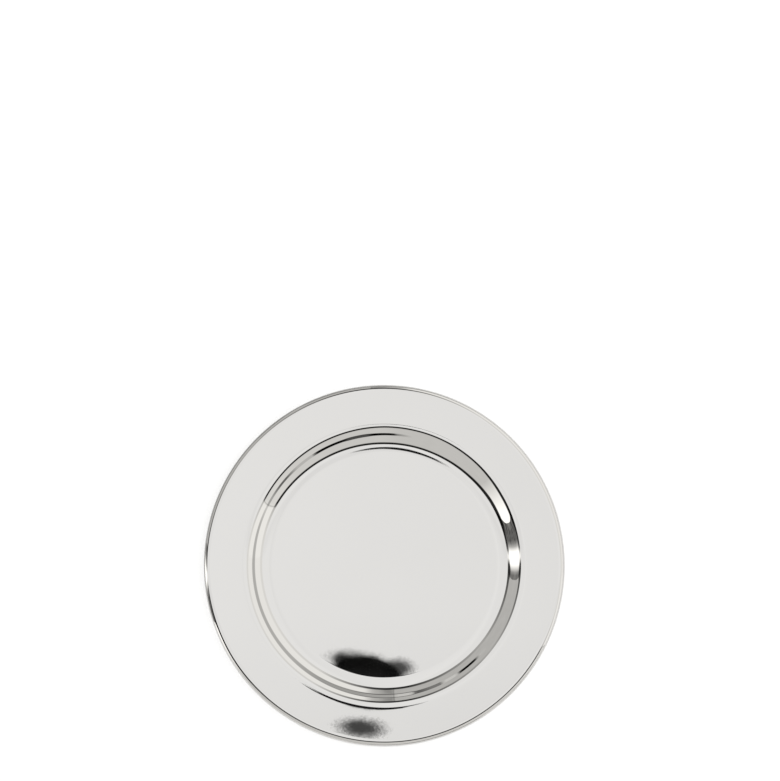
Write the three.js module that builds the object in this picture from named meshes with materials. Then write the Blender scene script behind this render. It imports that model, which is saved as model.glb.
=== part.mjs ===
import * as THREE from 'three';

// Driving sizes in millimetres; slopes in degrees, rising outward
const OUTER_DIAMETER = 140;
const SHEET_THICKNESS = 0.8;
const EDGE_RADIUS = 1.85;
const EDGE_EASE_RADIUS = 3.5;
const EDGE_EASE_SLOPE = -25;
const CURL_GAP = 0.3;
const RIM_WIDTH = 11.45;
const RIM_SLOPE = 0.3;
const SHOULDER_EASE_SLOPE = 1;
const SHOULDER_RADIUS = 5.7;
const WALL_SLOPE = 45;
const WALL_RUN = 0.6;
const FILLET_RADIUS = 7.3;
const FLOOR_EASE_SLOPE = 5.2;
const FLOOR_BREAK_SLOPE = 4.4;
const FLOOR_BREAK_RADIUS = 18;
const EASE_RADIUS = 80;
const PAD_THICKNESS = 1.5;
const FILM_THICKNESS = 0.15;
const PAD_INSET = 1.2;
const FILM_INSET = 1;
const SIDES = 64;

// Finishes
const silver = new THREE.MeshStandardMaterial({ color: 0xe6e4df, metalness: 1, roughness: 0.06 });
const steel = new THREE.MeshStandardMaterial({ color: 0xa8abae, metalness: 0.9, roughness: 0.4 });
const glue = new THREE.MeshStandardMaterial({ color: 0xd9d2b4, metalness: 0, roughness: 0.5 });
const felt = new THREE.MeshStandardMaterial({ color: 0x2b2d30, metalness: 0, roughness: 0.95 });

const sine = (degrees) => Math.sin(THREE.MathUtils.degToRad(degrees));
const cosine = (degrees) => Math.cos(THREE.MathUtils.degToRad(degrees));

// The rolled edge closes on its wire and stops one gap below the rim
const OUTWARD = -90;
const wireRadius = EDGE_RADIUS - SHEET_THICKNESS;
const easeDrop = EDGE_EASE_RADIUS * (cosine(RIM_SLOPE) - cosine(EDGE_EASE_SLOPE));
const wireDepth = easeDrop + EDGE_RADIUS * cosine(EDGE_EASE_SLOPE);
const curlHeight = wireDepth - SHEET_THICKNESS - CURL_GAP;
const curlRest = THREE.MathUtils.radToDeg(Math.acos(curlHeight / EDGE_RADIUS));
const curlEnd = curlRest - 360;

// The sheet from the floor outward: bends with a radius, and straight runs up the wall and along the rim
const wellAndRim = [
  { radius: FLOOR_BREAK_RADIUS, from: 0, to: FLOOR_BREAK_SLOPE, steps: 2 },
  { radius: EASE_RADIUS, from: FLOOR_BREAK_SLOPE, to: FLOOR_EASE_SLOPE, steps: 1 },
  { radius: FILLET_RADIUS, from: FLOOR_EASE_SLOPE, to: WALL_SLOPE, steps: 5 },
  { run: WALL_RUN, from: WALL_SLOPE, to: WALL_SLOPE, steps: 1 },
  { radius: SHOULDER_RADIUS, from: WALL_SLOPE, to: SHOULDER_EASE_SLOPE, steps: 5 },
  { radius: EASE_RADIUS, from: SHOULDER_EASE_SLOPE, to: RIM_SLOPE, steps: 1 },
  { run: RIM_WIDTH, from: RIM_SLOPE, to: RIM_SLOPE, steps: 1 },
  { radius: EDGE_EASE_RADIUS, from: RIM_SLOPE, to: EDGE_EASE_SLOPE, steps: 2 },
];

// The rolled edge: over the top to its widest place, then round under the rim
const rolledEdge = [
  { radius: EDGE_RADIUS, from: EDGE_EASE_SLOPE, to: OUTWARD, steps: 4 },
  { radius: EDGE_RADIUS, from: OUTWARD, to: curlEnd, steps: 11 },
];

// Distance outward and upward from the start of a bend to the place with this slope
function along(bend, slope, share) {
  if (bend.run) return { out: bend.run * share, up: (bend.run * share * sine(slope)) / cosine(slope) };
  const turn = Math.sign(bend.to - bend.from) * bend.radius;
  return { out: turn * (sine(slope) - sine(bend.from)), up: turn * (cosine(bend.from) - cosine(slope)) };
}

function follow(start, bend) {
  const points = [];
  for (let step = 1; step <= bend.steps; step += 1) {
    const share = step / bend.steps;
    const slope = bend.from + (bend.to - bend.from) * share;
    const move = along(bend, slope, share);
    points.push({ r: start.r + move.out, z: start.z + move.up, slope });
  }
  return points;
}

// Radii and heights that follow from the driving sizes
const outerRadius = OUTER_DIAMETER / 2;
const wellRun = wellAndRim.reduce((sum, bend) => sum + along(bend, bend.to, 1).out, 0);
const edgeRun = along(rolledEdge[0], OUTWARD, 1).out;
const floorRadius = outerRadius - edgeRun - wellRun;
const padRadius = floorRadius - PAD_INSET;
const filmRadius = padRadius - FILM_INSET;
const filmBottom = PAD_THICKNESS;
const floorBottom = filmBottom + FILM_THICKNESS;
const floorTop = floorBottom + SHEET_THICKNESS;

// Upper face of the sheet from the axis to the end of the curl
const upperFace = [{ r: 0, z: floorTop, slope: 0 }, { r: floorRadius, z: floorTop, slope: 0 }];
for (const bend of [...wellAndRim, ...rolledEdge]) upperFace.push(...follow(upperFace.at(-1), bend));

// The place one depth under the sheet's upper face
function under(point, depth) {
  return { r: point.r + depth * sine(point.slope), z: point.z - depth * cosine(point.slope) };
}

function turned(name, section, material) {
  const outline = section.map((point) => new THREE.Vector2(Math.max(point.r, 0), point.z));
  const body = new THREE.LatheGeometry(outline, SIDES);
  body.rotateX(Math.PI / 2);
  const mesh = new THREE.Mesh(body, material);
  mesh.name = name;
  return mesh;
}

function disc(name, radius, bottom, top, material) {
  const section = [{ r: 0, z: bottom }, { r: radius, z: bottom }, { r: radius, z: top }, { r: 0, z: top }];
  return turned(name, section, material);
}

// Pressed dish in one sheet: floor, wall, rim and rolled edge
const lowerFace = upperFace.map((point) => under(point, SHEET_THICKNESS));
const dish = turned('dish', [...lowerFace, ...upperFace.toReversed()], silver);

// Round wire that fills the curl
const rollSteps = rolledEdge.reduce((sum, bend) => sum + bend.steps, 0);
const wireFace = lowerFace.slice(-rollSteps - 1);
const closing = { radius: wireRadius, from: curlEnd, to: EDGE_EASE_SLOPE - 360, steps: 4 };
const wireSection = [...wireFace, ...follow(wireFace.at(-1), closing)].toReversed();
const rimWire = turned('rim_wire', wireSection, steel);

// Felt under the floor and the glue film that holds it
const adhesiveFilm = disc('adhesive_film', filmRadius, filmBottom, floorBottom, glue);
const basePad = disc('base_pad', padRadius, 0, PAD_THICKNESS, felt);

const bottleCoaster = new THREE.Group();
bottleCoaster.name = 'bottle_coaster';
bottleCoaster.add(dish, rimWire, adhesiveFilm, basePad);

export default bottleCoaster;
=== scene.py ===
# %% [markdown]
# # A polished bottle coaster
# A bottle coaster is a small plate that a wine bottle stands on. This one is a single pressed sheet with
# a mirror polish, so nearly everything the eye sees on it is a reflection of the room. The lesson is
# therefore mostly about two things: a very smooth profile, and a studio worth reflecting.

# %% Load the fixed frame
import math
import bmesh
import bpy
from mathutils import Matrix, Vector, noise


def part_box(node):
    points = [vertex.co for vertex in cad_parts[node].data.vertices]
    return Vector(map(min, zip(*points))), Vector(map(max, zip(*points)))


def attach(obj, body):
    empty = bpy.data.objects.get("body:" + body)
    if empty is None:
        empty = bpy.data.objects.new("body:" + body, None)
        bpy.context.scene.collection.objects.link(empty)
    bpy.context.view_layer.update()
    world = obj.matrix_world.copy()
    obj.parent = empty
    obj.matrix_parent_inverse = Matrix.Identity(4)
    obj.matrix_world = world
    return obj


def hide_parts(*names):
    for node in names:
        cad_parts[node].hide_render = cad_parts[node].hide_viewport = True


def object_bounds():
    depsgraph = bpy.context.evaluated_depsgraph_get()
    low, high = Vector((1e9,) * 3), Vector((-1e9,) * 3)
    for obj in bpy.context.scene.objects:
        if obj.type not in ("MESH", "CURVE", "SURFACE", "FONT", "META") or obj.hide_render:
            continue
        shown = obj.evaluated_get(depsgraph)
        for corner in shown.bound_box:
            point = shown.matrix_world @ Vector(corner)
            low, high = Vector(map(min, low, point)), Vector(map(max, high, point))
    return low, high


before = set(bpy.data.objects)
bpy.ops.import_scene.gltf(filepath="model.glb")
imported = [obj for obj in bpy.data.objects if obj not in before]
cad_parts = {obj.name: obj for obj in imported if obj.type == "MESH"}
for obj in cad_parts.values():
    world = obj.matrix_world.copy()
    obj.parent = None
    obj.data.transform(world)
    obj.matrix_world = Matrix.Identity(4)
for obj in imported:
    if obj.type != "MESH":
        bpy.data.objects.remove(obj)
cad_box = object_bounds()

MM = 0.001
print("solids:", sorted(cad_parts))
print("coaster box in mm:", [[round(v / MM, 2) for v in corner] for corner in cad_box])

# %% [markdown]
# ## The section of the dish
# The real dish is spun or pressed from one sheet, so its whole form is in one curve: flat floor, soft
# foot of the wall, short steep wall, shoulder, broad rim and an edge that is rolled over a wire. The curve
# could be typed in as a list of points. Here it is drawn as on paper, with a ruler and a compass:
# extruding the last point draws a straight run, and spinning it round a centre draws a bend with a true
# radius. Lengths are in millimetres, and slopes in degrees, rising outward.

# %% Ruler and compass
section = bmesh.new()


def straight(tip, run, slope):
    """Draw a straight line that goes this far outward."""
    made = bmesh.ops.extrude_vert_indiv(section, verts=[tip])
    step = Vector((run, 0, run * math.tan(math.radians(slope)))) * MM
    bmesh.ops.translate(section, verts=made["verts"], vec=step)
    return made["verts"][0]


def bend(tip, radius, slope, new_slope, steps):
    """Draw an arc that turns from one slope to another."""
    turn = math.radians(new_slope - slope)
    toward_centre = Vector((-math.sin(math.radians(slope)), 0, math.cos(math.radians(slope))))
    centre = tip.co + toward_centre * math.copysign(radius * MM, turn)
    made = bmesh.ops.spin(section, geom=[tip], cent=centre, axis=(0, -1, 0), angle=turn, steps=steps)
    return next(part for part in made["geom_last"] if isinstance(part, bmesh.types.BMVert))


# %% [markdown]
# The heights and the outer size come from the CAD solids, and the bends repeat the source's own radii. Two
# of the bends are nearly flat: the foot of the wall and the start of the rim ease off through a radius of
# 80 mm. They are hardly there, yet each one stretches a reflection into a long dark arc, as on the real
# dish.

# %% Sizes of the section
dish_low, dish_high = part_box("dish")
level, straight_down = 0, -90
sheet = 0.8
break_radius, break_slope = 18, 4.4
ease_radius = 80
foot_radius, foot_slope = 7.3, 5.2
wall_run, wall_slope = 0.6, 45
shoulder_radius, brow_slope = 5.7, 1
rim_run, rim_slope = 11.45, 0.3
roll_ease_radius, roll_slope = 3.5, -25
roll_radius, curl_gap = 1.85, 0.3


def reach(radius, slope, new_slope):
    """How far outward a bend goes."""
    return radius * abs(math.sin(math.radians(new_slope)) - math.sin(math.radians(slope)))


outer_radius = dish_high.x / MM
well = (reach(break_radius, level, break_slope) + reach(ease_radius, break_slope, foot_slope)
        + reach(foot_radius, foot_slope, wall_slope) + wall_run
        + reach(shoulder_radius, wall_slope, brow_slope))
rim = (reach(ease_radius, brow_slope, rim_slope) + rim_run
       + reach(roll_ease_radius, rim_slope, roll_slope) + reach(roll_radius, roll_slope, straight_down))
floor_radius = outer_radius - well - rim
print("flat floor", round(2 * floor_radius, 2), "mm across")
print("wall of the well", round(well, 2), "mm wide, rim", round(rim, 2), "mm wide")

# %% [markdown]
# Smooth shading blends the normals over a whole face, and a mirror shows it at once if a broad flat face
# borrows some of its neighbour's tilt. So the floor ends in a narrow strip that takes up the blend, and the
# rim starts and ends in one.

# %% Draw the floor, the wall and the rim from the axis outward
strip = 0.3
tip = section.verts.new((0, 0, dish_low.z + sheet * MM))
tip = straight(tip, floor_radius - strip, level)
tip = straight(tip, strip, level)
tip = bend(tip, break_radius, level, break_slope, steps=10)
tip = bend(tip, ease_radius, break_slope, foot_slope, steps=6)
tip = bend(tip, foot_radius, foot_slope, wall_slope, steps=24)
tip = straight(tip, wall_run, wall_slope)
tip = bend(tip, shoulder_radius, wall_slope, brow_slope, steps=26)
tip = bend(tip, ease_radius, brow_slope, rim_slope, steps=8)
for run in (strip, rim_run - 2 * strip, strip):
    tip = straight(tip, run, rim_slope)
rim_height = tip.co.z
print("upper face of", len(section.verts), "points, rim ends at", round(rim_height / MM, 3), "mm")

# %% [markdown]
# The edge turns over, down and back under the rim in one radius, until it stops a small gap below the
# sheet. How far it can turn follows from the height that is left there.

# %% Roll the edge
tip = bend(tip, roll_ease_radius, rim_slope, roll_slope, steps=12)
tip = bend(tip, roll_radius, roll_slope, straight_down, steps=18)
roll_centre = tip.co - Vector((roll_radius * MM, 0, 0))
curl_height = (rim_height - roll_centre.z) / MM - sheet - curl_gap
curl_slope = math.degrees(math.acos(curl_height / roll_radius)) - 360
bend(tip, roll_radius, straight_down, curl_slope, steps=34)
section_top = max(vert.co.z for vert in section.verts)
print("section of", len(section.verts), "points, highest at", round(section_top / MM, 3), "mm")

# %% [markdown]
# ## Spin the section into a sheet
# One full spin round the upright axis makes the face, as the maker's lathe does. The spin leaves one copy
# of the middle point for each step, so doubles are merged first, then the normals are made to agree, and
# only then does the face get the sheet's thickness.

# %% Spin and thicken
same_place = 1e-7


def spin_round(shape, steps):
    """Spin what is drawn once round the upright axis."""
    drawn = shape.verts[:] + shape.edges[:]
    bmesh.ops.spin(shape, geom=drawn, cent=(0, 0, 0), axis=(0, 0, 1), angle=2 * math.pi, steps=steps,
                   use_merge=True)
    bmesh.ops.remove_doubles(shape, verts=shape.verts[:], dist=same_place)
    bmesh.ops.recalc_face_normals(shape, faces=shape.faces[:])


def face_up(shape):
    """Turn all faces over if the innermost one looks down."""
    innermost = min(shape.faces, key=lambda face: face.calc_center_median().length)
    if innermost.normal.z < 0:
        bmesh.ops.reverse_faces(shape, faces=shape.faces[:])


spin_round(section, steps=192)
face_up(section)
bmesh.ops.solidify(section, geom=section.faces[:], thickness=sheet * MM)
print("sheet of", len(section.faces), "faces")

# %% [markdown]
# ## Polished silver
# A mirror polish has almost no roughness, and what keeps it from looking like a computer's chrome is how
# slightly it fails: the tone drifts a little, the buffing wheel leaves faint arcs round the axis, and the
# sheet is not perfectly flat. All three come from noise on Object coordinates, so they stay with the metal
# in every view. A finish is a tree of nodes, and a few helpers keep each node to one line.

# %% Helpers that add nodes
def fill(tree, sockets, values):
    """Link the sockets that are given another socket, and set the others."""
    for name, value in values.items():
        if isinstance(value, bpy.types.NodeSocket):
            tree.links.new(value, sockets[name])
        else:
            sockets[name].default_value = value


def add(tree, kind, inputs=None, **settings):
    """Add a node and hand back its outputs."""
    made = tree.nodes.new(kind)
    for name, value in settings.items():
        setattr(made, name, value)
    fill(tree, made.inputs, inputs or {})
    return made.outputs


def new_finish(name):
    material = bpy.data.materials.new(name)
    material.use_nodes = True
    return material, material.node_tree


def coat(material, values):
    """Give the material's shader its values."""
    tree = material.node_tree
    fill(tree, tree.nodes["Principled BSDF"].inputs, values)
    print("finish", material.name, "with", len(tree.nodes), "nodes")


# %% Helpers that draw patterns
def own_place(tree):
    return add(tree, "ShaderNodeTexCoord")["Object"]


def clouds(tree, place, scale, detail, roughness=0.5, distortion=0):
    """Noise between 0 and 1."""
    inputs = {"Vector": place, "Scale": scale, "Detail": detail, "Roughness": roughness,
              "Distortion": distortion}
    return add(tree, "ShaderNodeTexNoise", inputs)["Fac"]


def spread(tree, value, at_low, at_high, low=0, high=1):
    """Go from one result to another while the value goes from low to high."""
    inputs = {"Value": value, "From Min": low, "From Max": high, "To Min": at_low, "To Max": at_high}
    return add(tree, "ShaderNodeMapRange", inputs)["Result"]


def two_tones(tree, share, first, second):
    inputs = {"Factor": share, "A": (*first, 1), "B": (*second, 1)}
    return add(tree, "ShaderNodeMix", inputs, data_type="RGBA")["Result"]


def bumps(tree, height, strength, depth):
    inputs = {"Height": height, "Strength": strength, "Distance": depth * MM}
    return add(tree, "ShaderNodeBump", inputs)["Normal"]


def maths(tree, kind, *values, clamp=False):
    return add(tree, "ShaderNodeMath", dict(enumerate(values)), operation=kind, use_clamp=clamp)[0]


def round_axis(tree, place, ring_scale, arc_scale):
    """Coordinates that run outward and round the axis, for marks left by a turning tool."""
    flat = add(tree, "ShaderNodeVectorMath", {0: place, 1: (1, 1, 0)}, operation="MULTIPLY")["Vector"]
    radius = add(tree, "ShaderNodeVectorMath", {0: flat}, operation="LENGTH")["Value"]
    unit = add(tree, "ShaderNodeVectorMath", {0: flat}, operation="NORMALIZE")["Vector"]
    arc = add(tree, "ShaderNodeVectorMath", {0: unit, "Scale": arc_scale}, operation="SCALE")["Vector"]
    lift = add(tree, "ShaderNodeCombineXYZ", {"Z": maths(tree, "MULTIPLY", radius, ring_scale)})[0]
    return add(tree, "ShaderNodeVectorMath", {0: arc, 1: lift}, operation="ADD")["Vector"]


# %% Mirror polish for the upper face
polished, tree = new_finish("polished_silver")
place = own_place(tree)
drift = clouds(tree, place, scale=28, detail=3)
tone = two_tones(tree, drift, (0.895, 0.884, 0.862), (0.917, 0.906, 0.886))
buffed = round_axis(tree, place, ring_scale=2500, arc_scale=3)
marks = clouds(tree, buffed, scale=1, detail=2)
gloss = spread(tree, marks, 0.006, 0.022)
swell = clouds(tree, place, scale=70, detail=2)
ripple = bumps(tree, swell, strength=1, depth=0.006)
coat(polished, {"Base Color": tone, "Metallic": 1, "Roughness": gloss, "Normal": ripple})

# %% [markdown]
# The back of the sheet is never buffed to a mirror: the lathe leaves rings, and the metal keeps a satin
# look. The back shares the dish's mesh, so it is picked by face: those that look down and lie inside the
# curl.

# %% Satin rings for the back
turned_back, tree = new_finish("turned_silver_back")
rings = round_axis(tree, own_place(tree), ring_scale=1400, arc_scale=2)
ring_marks = clouds(tree, rings, scale=1, detail=4)
tone = two_tones(tree, ring_marks, (0.82, 0.81, 0.79), (0.88, 0.87, 0.85))
gloss = spread(tree, ring_marks, 0.18, 0.34)
grooves = bumps(tree, ring_marks, strength=0.6, depth=0.01)
coat(turned_back, {"Base Color": tone, "Metallic": 1, "Roughness": gloss, "Normal": grooves})

# %% [markdown]
# A finished bmesh becomes an object, and the object rides on the coaster's one body. Smooth shading hides
# the facets, and a sharp angle keeps real corners crisp, such as the cut end of the curl.

# %% Helpers that make objects
def make_object(name, shape, *materials):
    mesh = bpy.data.meshes.new(name)
    shape.to_mesh(mesh)
    shape.free()
    for material in materials:
        mesh.materials.append(material)
    made = bpy.data.objects.new(name, mesh)
    bpy.context.collection.objects.link(made)
    print(name, "faces:", len(mesh.polygons))
    return made


def finish_piece(name, shape, *materials, sharp=40):
    piece = make_object(name, shape, *materials)
    piece.data.shade_smooth()
    piece.data.set_sharp_from_angle(angle=math.radians(sharp))
    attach(piece, "root")
    return piece


# %% Finish the dish
looks_down = -0.05
curl_inside = roll_centre.x - roll_radius * MM
section.normal_update()
for face in section.faces:
    middle = face.calc_center_median()
    within_curl = math.hypot(middle.x, middle.y) < curl_inside
    face.material_index = int(within_curl and face.normal.z < looks_down)
dish = finish_piece("polished_dish", section, polished, turned_back)
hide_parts("dish")

# %% [markdown]
# ## Core wire
# The rim of a thin sheet is weak, so it is rolled over a round wire, and the wire is what makes the edge
# look so full. It shows only as a line in the slit under the rim. A circle spun round the axis makes it; it
# stays a few hundredths of a millimetre inside the curl.

# %% Drawn wire finish
wire_finish, tree = new_finish("drawn_wire")
drawn = round_axis(tree, own_place(tree), ring_scale=900, arc_scale=1)
lines = clouds(tree, drawn, scale=3, detail=3)
tone = two_tones(tree, lines, (0.45, 0.46, 0.47), (0.62, 0.63, 0.64))
gloss = spread(tree, lines, 0.3, 0.5)
coat(wire_finish, {"Base Color": tone, "Metallic": 1, "Roughness": gloss})

# %% Wire in the curl
wire_play = 0.03
core = bmesh.new()
bmesh.ops.create_circle(core, segments=28, radius=(roll_radius - sheet - wire_play) * MM)
upright = Matrix.Rotation(math.pi / 2, 3, "X")
bmesh.ops.rotate(core, verts=core.verts[:], cent=(0, 0, 0), matrix=upright)
bmesh.ops.translate(core, verts=core.verts[:], vec=roll_centre)
spin_round(core, steps=160)
wire = finish_piece("core_wire", core, wire_finish)
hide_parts("rim_wire")

# %% [markdown]
# ## Felt base pad
# Under the floor sits a disc of pressed felt, die-cut and glued. Felt has no weave: it is a mat of short
# fibres, so the finish mixes two scales of noise for clumps and fibres, with a soft sheen. The disc is a
# circle, extruded and bevelled, and its cut edge wanders by a few hundredths of a millimetre.

# %% Felt finish
felt_finish, tree = new_finish("pressed_felt")
place = own_place(tree)
clumps = clouds(tree, place, scale=260, detail=4, roughness=0.6)
fibres = clouds(tree, place, scale=700, detail=6, roughness=0.7, distortion=4)
mat = spread(tree, maths(tree, "MULTIPLY", clumps, fibres), 0, 1, low=0.12, high=0.42)
tone = two_tones(tree, mat, (0.016, 0.017, 0.019), (0.075, 0.078, 0.084))
rough = spread(tree, clumps, 0.86, 1)
nap = bumps(tree, mat, strength=0.8, depth=0.2)
coat(felt_finish, {"Base Color": tone, "Roughness": rough, "Normal": nap, "Sheen Weight": 0.25})

# %% Felt disc
cut_round, fray, fray_scale = 0.22, 0.05, 700
pad_low, pad_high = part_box("base_pad")
pad = bmesh.new()
bmesh.ops.create_circle(pad, cap_ends=True, segments=180, radius=pad_high.x - fray * MM)
bmesh.ops.translate(pad, verts=pad.verts[:], vec=(0, 0, pad_low.z))
raised = bmesh.ops.extrude_face_region(pad, geom=pad.faces[:])
upper = [part for part in raised["geom"] if isinstance(part, bmesh.types.BMVert)]
bmesh.ops.translate(pad, verts=upper, vec=(0, 0, pad_high.z - pad_low.z))
bmesh.ops.recalc_face_normals(pad, faces=pad.faces[:])
rims = [edge for edge in pad.edges if abs(edge.verts[0].co.z - edge.verts[1].co.z) < same_place]
bmesh.ops.bevel(pad, geom=rims, offset=cut_round * MM, offset_type="OFFSET", segments=3, profile=0.5,
                affect="EDGES", material=-1)
# The noise runs from -1 to 1, and the shift keeps the felt inside its CAD edge
for vert in pad.verts:
    outward = Vector((vert.co.x, vert.co.y, 0)).normalized()
    vert.co += outward * (noise.noise(vert.co * fray_scale) - 0.5) * fray * MM
felt = finish_piece("felt_pad", pad, felt_finish, sharp=60)
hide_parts("base_pad")

# %% [markdown]
# ## Glue film
# The film of dried glue is the CAD solid itself. It is hidden between felt and metal and shows at most as a
# thin tan line, so it only needs a good material: a mottled, slightly glossy coat.

# %% Glue on the CAD solid
glue_finish, tree = new_finish("dried_glue")
mottle = clouds(tree, own_place(tree), scale=180, detail=5)
tone = two_tones(tree, mottle, (0.62, 0.55, 0.38), (0.74, 0.68, 0.5))
gloss = spread(tree, mottle, 0.35, 0.6)
coat(glue_finish, {"Base Color": tone, "Roughness": gloss})
film = bpy.data.objects["adhesive_film"]
film.data.materials.clear()
film.data.materials.append(glue_finish)

# %% [markdown]
# ## The studio, as the metal sees it
# A mirror has no look of its own, so the studio is designed first of all for what it does in the metal: a
# white ceiling that fills the floor and the rim, walls of white and grey card below it, a dark gap between
# the two that draws the thin dark lines round the wall and the edge, and one bright strip light. All of it
# is a pattern in the world, written by direction: azimuth runs clockwise from +X as seen from above, and
# elevation from the table up.

# %% Directions in the room
studio = bpy.data.worlds.new("studio")
bpy.context.scene.world = studio
studio.use_nodes = True
room = studio.node_tree
room.nodes.clear()


def calc(kind, *values, clamp=False):
    return maths(room, kind, *values, clamp=clamp)


way = add(room, "ShaderNodeTexCoord")["Generated"]
way_x, way_y, way_z = add(room, "ShaderNodeSeparateXYZ", {0: way})
turn = calc("ARCTAN2", calc("MULTIPLY", way_y, -1), way_x)
azimuth = calc("FRACT", calc("DIVIDE", turn, 2 * math.pi))
elevation = calc("DEGREES", calc("ARCSINE", way_z))
print("directions in the room from", len(room.nodes), "nodes")

# %% [markdown]
# A colour ramp over the azimuth holds one row of the room: a list of places in degrees with a value at
# each. A row of cards is the same thing with a flat tone from one seam to the next. Each card is given by
# the azimuth of its first seam, its tone and, where the seam is a soft one, the softness in degrees to
# either side.

# %% Rows of values and rows of cards
full_turn, crisp_seam = 360, 0.25


def around(stops):
    """A value that goes from stop to stop along the azimuth."""
    made = room.nodes.new("ShaderNodeValToRGB")
    room.links.new(azimuth, made.inputs[0])
    ramp = made.color_ramp
    ramp.elements.remove(ramp.elements[1])
    for index, (degrees, value) in enumerate(stops):
        position = degrees / full_turn
        stop = ramp.elements[0] if index == 0 else ramp.elements.new(position)
        stop.position = position
        stop.color = (value, value, value, 1)
    print("row of", len(ramp.elements), "stops")
    return made.outputs["Color"]


def card_row(*cards):
    """Flat tones, each from its own seam to the next one."""
    stops = []
    last_tone = cards[-1][1]
    for start, tone, *softness in cards:
        seam = softness[0] if softness else crisp_seam
        stops += [(max(start - seam, 0), last_tone), (start + seam, tone)]
        last_tone = tone
    return around(stops)


# %% [markdown]
# Three groups of rows make the room. The walls are pale at the right and greyer along the front and the
# back, and a doorway at the left holds the strip light. Low things stand on the table, with a row for
# their tones, one for the elevation of their tops, one for how blurred these are, and one for a shadow
# along them. The ceiling has a row for the elevation of its edge, and the dark gap under it has one for its
# height in degrees and one for the share of the light that it takes away.

# %% Walls and doorway
strip_light = 1.4
walls = card_row((0, 0.9), (25, 0.74, 1), (40, 0.66, 6), (62, 0.62, 5), (92, 0.57, 5), (150, 1.2, 8),
                 (176, 0.47), (266, 0.27), (271.5, 0.47, 2), (277, 0.86, 2))
doorway = card_row((0, 0.09), (172.6, 0.3, 1), (175.4, strip_light, 1.5), (184, 0.15, 2.2))

# %% Low things on the table
low_things = card_row((0, 0.48), (25, 0.4), (32, 0.12, 3), (43, 0.5, 3), (56, 0, 1), (72, 0.07, 1),
                      (83, 0, 1), (95, 0.2, 1), (103, 0.57, 4), (226.5, 0, 1.5), (237, 0.6, 1),
                      (245, 0.2, 1), (258, 0.6, 1), (266, 0.4, 1), (279, 0.36, 2), (305, 0.46, 8))
low_top = around([(0, 5), (15, 4), (24.5, 3.5), (25.5, 4.5), (41, 5), (46, 7.4), (54, 7.4), (57, 6.5),
                  (71, 6.5), (73, 9), (82, 9), (84, 7), (94, 6), (104, 3), (110, -20), (220, -20),
                  (225, 1), (229, 2.6), (236, 2.6), (238, 3.5), (244, 3.5), (246, 5.3), (257, 5.3),
                  (259, 9.5), (280, 10), (300, 7.2), (325, 5.4), (360, 5)])
low_blur = around([(0, 5), (15, 3.5), (25, 2.5), (265, 2.5), (285, 6), (360, 5)])
shadow_depth = around([(0, 0), (250, 0), (259, 0.7), (276, 0.75), (284, 0.3), (305, 0), (360, 0)])

# %% Edge of the ceiling and the gap under it
ceiling_edge = around([(0, 56), (25, 53), (46, 60), (59, 63), (90, 67), (121, 64), (137, 60.5), (152, 54),
                       (178, 48.5), (193, 47.5), (222, 49.5), (256, 53), (270, 53), (289, 56), (320, 58),
                       (360, 56)])
gap_height = around([(0, 14), (115, 13), (135, 16), (150, 21), (164, 20), (168, 13), (182, 14), (185, 20),
                     (187, 20), (190, 14), (360, 14)])
gap_depth = around([(0, 0.15), (12, 0.2), (24, 0.4), (26, 0.98), (163, 0.98), (167, 0.85), (176, 0.85),
                    (178.4, 0.3), (180, 0.3), (182.4, 0.98), (195, 0.75), (222, 0.15), (238, 0.45),
                    (260, 0.95), (278, 0.9), (300, 0.2), (330, 0.13), (360, 0.13)])

# %% [markdown]
# The doorway interrupts the walls. Its sides are too crisp for a colour ramp, so they are tests on the
# azimuth, and they lean more and more toward the top.

# %% Doorway in the walls
door_head, lean_power = 33, 3


def blend(share, first, second):
    return add(room, "ShaderNodeMix", {"Factor": share, "A": first, "B": second})["Result"]


def jamb(degrees, lean):
    """Azimuth of an upright side of the doorway, which has moved back by its lean at the door's head."""
    height = calc("POWER", calc("DIVIDE", elevation, door_head), lean_power)
    return calc("SUBTRACT", degrees / full_turn, calc("MULTIPLY", height, lean / full_turn))


past_near_side = calc("GREATER_THAN", azimuth, jamb(163.4, lean=2.2))
before_far_side = calc("LESS_THAN", azimuth, jamb(189, lean=1))
walls = blend(calc("MULTIPLY", past_near_side, before_far_side), walls, doorway)
print("walls with a doorway:", len(room.nodes), "nodes so far")

# %% [markdown]
# Streaks of stray light, strongest where the walls are darkest, keep the dark things from looking like flat
# paint. They are noise that is drawn out upright.

# %% Stray light
streaks_round, streaks_up, streak_power, blackest = 70, 7, 3, 0.01
along = {"X": calc("MULTIPLY", azimuth, streaks_round), "Y": calc("MULTIPLY", way_z, streaks_up)}
stray = clouds(room, add(room, "ShaderNodeCombineXYZ", along)[0], scale=1, detail=3)
how_dark = calc("POWER", calc("SUBTRACT", 1, walls, clamp=True), streak_power)
streaks = calc("MULTIPLY", spread(room, stray, -0.05, 0.2, low=0.35, high=0.7), how_dark)
walls = calc("MAXIMUM", calc("ADD", walls, streaks), blackest)
print("walls with stray light:", len(room.nodes), "nodes so far")

# %% [markdown]
# Close to the table the low things stand in front of the walls, with the shadow along their tops. Two thin
# posts between cards are tests on the azimuth again.

# %% Walls, low things and posts
edge_blur, post_half_width = 2, 0.35


def rise(value, start, width):
    """0 below start, 1 above start + width."""
    return calc("DIVIDE", calc("SUBTRACT", value, start), width, clamp=True)


def band_under(top, height, softness):
    """1 in a band of this height under a top, 0 elsewhere."""
    start = rise(elevation, calc("SUBTRACT", top, height), softness)
    return calc("SUBTRACT", start, rise(elevation, top, edge_blur), clamp=True)


def post(degrees):
    """1 on a thin upright line, 0 elsewhere."""
    off = calc("ABSOLUTE", calc("SUBTRACT", azimuth, degrees / full_turn))
    return calc("LESS_THAN", off, post_half_width / full_turn)


def darker(light, mask, depth):
    return calc("MULTIPLY", light, calc("SUBTRACT", 1, calc("MULTIPLY", mask, depth)))


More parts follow.
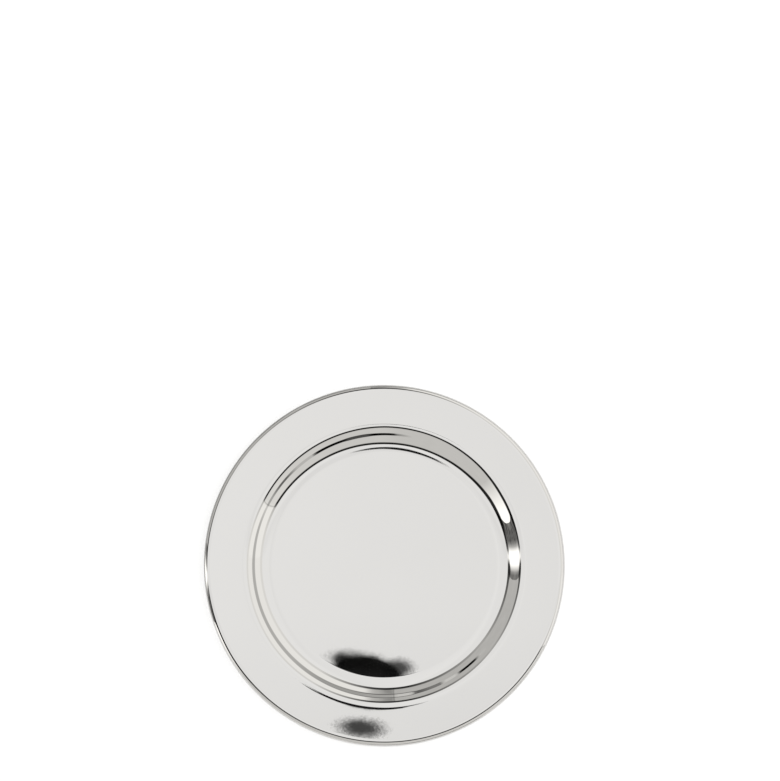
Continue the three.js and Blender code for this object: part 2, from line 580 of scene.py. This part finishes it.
sides = blend(rise(elevation, low_top, low_blur), low_things, walls)
sides = darker(sides, band_under(low_top, height=5, softness=1.5), shadow_depth)
sides = darker(sides, calc("ADD", post(25), post(266.3)), depth=0.25)
print("sides of the room:", len(room.nodes), "nodes so far")

# %% [markdown]
# The ceiling starts where the elevation passes its edge, and the gap is the band just under it. The ceiling
# is a touch brighter on one side, and has a faint darker stripe toward whoever takes the picture. Both are
# slight, and they are what keeps the broad flat rim from looking like a sheet of grey paper. Farther out,
# where only the sloping foot of the wall looks, the bright side changes over, so that no pale ring shows
# round the floor.

# %% Ceiling and gap
stripe_tone = 0.95
middle_tone = spread(room, way_x, 0.845, 0.803, low=-0.08, high=0.08)
outer_tone = spread(room, way_x, 0.812, 0.836, low=-0.15, high=0.15)
far_out = rise(calc("ABSOLUTE", way_x), start=0.085, width=0.03)
stripe_start = spread(room, way_y, stripe_tone, 1, low=-0.025, high=0.02)
stripe_end = spread(room, way_y, 1, stripe_tone, low=-0.11, high=-0.07)
stripe = calc("MAXIMUM", stripe_start, stripe_end)
ceiling = calc("MULTIPLY", blend(far_out, middle_tone, outer_tone), stripe)
overhead = rise(elevation, ceiling_edge, edge_blur)
light = blend(overhead, sides, ceiling)
light = darker(light, band_under(ceiling_edge, gap_height, softness=4), gap_depth)
print("room with a ceiling:", len(room.nodes), "nodes so far")

# %% [markdown]
# The camera itself should see plain white round the coaster, so rays that come straight from it get a
# strength of 1 instead of the pattern. The cards are a little warmer than the ceiling, as paper is.

# %% White for the camera
white, warm_paper, full_strength = (1, 1, 1), (1, 0.99, 0.965), 1
seen = add(room, "ShaderNodeLightPath")["Is Camera Ray"]
tint = two_tones(room, calc("MAXIMUM", overhead, seen), warm_paper, white)
strength = blend(seen, light, full_strength)
glow = add(room, "ShaderNodeBackground", {"Color": tint, "Strength": strength})[0]
add(room, "ShaderNodeOutputWorld", {"Surface": glow})
print("studio with", len(room.nodes), "nodes")

# %% [markdown]
# ## Table
# The table has a little glow of its own on top of its white paint, which keeps the soft shadow under the
# rim. Mirrored in the metal its colour and its glow carry a painted shade toward its far left corner, and
# that gives the rolled edge a fuller grey band there. From below it is clear, like a glass table, and it
# has a round hole under the felt that lets light in, so that the underside can be looked at too.

# %% Table finish
shaded_from, shaded_to, shaded_share, mirrored_glow = -0.05, -0.13, 0.5, 0.4
table_finish, tree = new_finish("white_table")
place = own_place(tree)
rays = add(tree, "ShaderNodeLightPath")
mirrored = rays["Is Glossy Ray"]
table_x, table_y, _ = add(tree, "ShaderNodeSeparateXYZ", {0: place})
# Painted shade: in reflections only, the table's colour and glow are darker toward its far left corner
corner = maths(tree, "SUBTRACT", table_x, table_y)
open_table = spread(tree, corner, 0, 1, low=shaded_to, high=shaded_from)
mirrored_open = maths(tree, "MULTIPLY", mirrored, open_table)
mirrored_shade = maths(tree, "SUBTRACT", mirrored, mirrored_open)
paper = spread(tree, clouds(tree, place, scale=90, detail=4), 0.79, 0.81)
tone = maths(tree, "MULTIPLY", paper, spread(tree, mirrored_shade, 1, shaded_share))
lit = maths(tree, "MULTIPLY_ADD", mirrored_open, mirrored_glow, rays["Is Camera Ray"])
solid = maths(tree, "SUBTRACT", 1, add(tree, "ShaderNodeNewGeometry")["Backfacing"])
coat(table_finish, {"Base Color": tone, "Emission Color": (0.6, 0.6, 0.6, 1), "Emission Strength": lit,
                    "Alpha": solid, "Roughness": 0.9})

# %% Table top
table_radius, table_drop, hole_edge = 4, 0.05 * MM, pad_high.x - MM
table_height = cad_box[0].z - table_drop
top = bmesh.new()
near = top.verts.new((hole_edge, 0, table_height))
far = top.verts.new((table_radius, 0, table_height))
top.edges.new((near, far))
spin_round(top, steps=96)
face_up(top)
table = make_object("table_top", top, table_finish)

# %% [markdown]
# ## Camera
# The photograph looks straight down on the coaster, which sits low in the frame. The camera stands a metre
# over a point a little in front of the dish's middle and tilts just enough to put that middle on its pixel.
# The lens follows from the width of the dish in pixels.

# %% Lens
picture, radius_pixels = (780, 781), 180.5
camera_height, sensor = 1.0, 36
pixel = outer_radius * MM / radius_pixels
lens_pixels = camera_height / pixel
camera = bpy.data.objects.new("camera", bpy.data.cameras.new("camera"))
bpy.context.collection.objects.link(camera)
bpy.context.scene.camera = camera
camera.data.sensor_width = sensor
camera.data.lens = sensor * lens_pixels / max(picture)
camera.data.clip_start = 0.01
bpy.context.scene.view_settings.view_transform = "Standard"
print("lens", round(camera.data.lens, 1), "mm")

# %% Put the camera over the dish
middle_pixel, foot_pixel = (384.4, 564.3), (372, 663)
beside = (foot_pixel[0] - middle_pixel[0]) * pixel
before = (foot_pixel[1] - middle_pixel[1]) * pixel
camera.location = (beside, -before, dish_high.z + camera_height)
pitch = math.atan(before / camera_height) + math.atan((middle_pixel[1] - picture[1] / 2) / lens_pixels)
yaw = math.atan(beside / camera_height) + math.atan((middle_pixel[0] - picture[0] / 2) / lens_pixels)
camera.rotation_euler = (pitch, yaw, 0)
print("tilt", round(math.degrees(pitch), 2), "and", round(math.degrees(yaw), 2), "degrees")

# %% [markdown]
# ## What the mirror shows of the camera
# A polished dish seen from above reflects whatever is over it, and here that is the dark front of the
# camera, which leaves a soft dark patch on the floor, a paler one on the rim, and the two long arcs where
# the sheet eases into its bends. Dark oval cards beside the lens stand for it. Only reflections see them,
# and a noise that eats into their edges makes them as soft and streaky as things out of focus. They glow a
# very little, because nothing in a bright room is quite black.

# %% Paint for the dark cards
comb, comb_start = (2.2, 0.6, 1), (0.37, 0.61, 0.23)
black, faint_light, faint_glow = (0, 0, 0, 1), (1, 1, 0.97, 1), 0.004


def card_paint(name, depth, softness, wear):
    """Black that fades out round an oval of radius 1."""
    paint, tree = new_finish(name)
    place = own_place(tree)
    middle = add(tree, "ShaderNodeVectorMath", {0: place}, operation="LENGTH")["Value"]
    combing = {0: place, 1: comb, 2: comb_start}
    combed = add(tree, "ShaderNodeVectorMath", combing, operation="MULTIPLY_ADD")["Vector"]
    streaks = clouds(tree, combed, scale=8, detail=6, roughness=0.7, distortion=0.4)
    ragged = maths(tree, "MULTIPLY_ADD", streaks, wear, middle)
    edge = 1 + wear / 2
    cover = spread(tree, ragged, depth, 0, low=edge - softness, high=edge + softness)
    coat(paint, {"Base Color": black, "Emission Color": faint_light, "Emission Strength": faint_glow,
                 "Alpha": cover, "Roughness": 1, "Specular IOR Level": 0})
    return paint


# %% [markdown]
# The list gives each card's half width and half depth, its place beside the lens in millimetres, its turn
# in degrees, and how deep, how soft and how worn its black is. Cards that overlap hang at different
# heights, because two faces in one plane would fight for the same pixels.

# %% Dark cards over the dish
room_to_fade = 2


def dark_card(name, half_width, half_depth, offset, turn, depth, softness, wear):
    shape = bmesh.new()
    bmesh.ops.create_circle(shape, cap_ends=True, segments=48, radius=room_to_fade)
    card = make_object(name, shape, card_paint(name + "_paint", depth, softness, wear))
    card.scale = (half_width * MM, half_depth * MM, 1)
    card.rotation_euler = (0, 0, math.radians(turn))
    card.location = camera.location + Vector(offset) * MM
    card.visible_camera = card.visible_diffuse = card.visible_shadow = False


cards = [
    ("camera_front", 27.5, 14.7, (-3.5, -9, 10), -9, 0.992, 0.1, 0.25),
    ("camera_hood", 20, 6.5, (-10, 2, 14), -8, 0.85, 0.5, 1.6),
    ("camera_side", 11, 6.8, (20, -3.8, 12), 0, 0.92, 0.4, 1.9),
    ("camera_corner", 7, 5, (-23.5, 3, 12), -10, 0.9, 0.4, 0.6),
    ("camera_strap", 13, 5.2, (-31.5, -6.2, 13), -14, 0.95, 0.2, 0.4),
    ("camera_grip", 15.5, 7, (-7, -39, 11), -4, 0.93, 0.4, 2),
]
for card in cards:
    dark_card(*card)
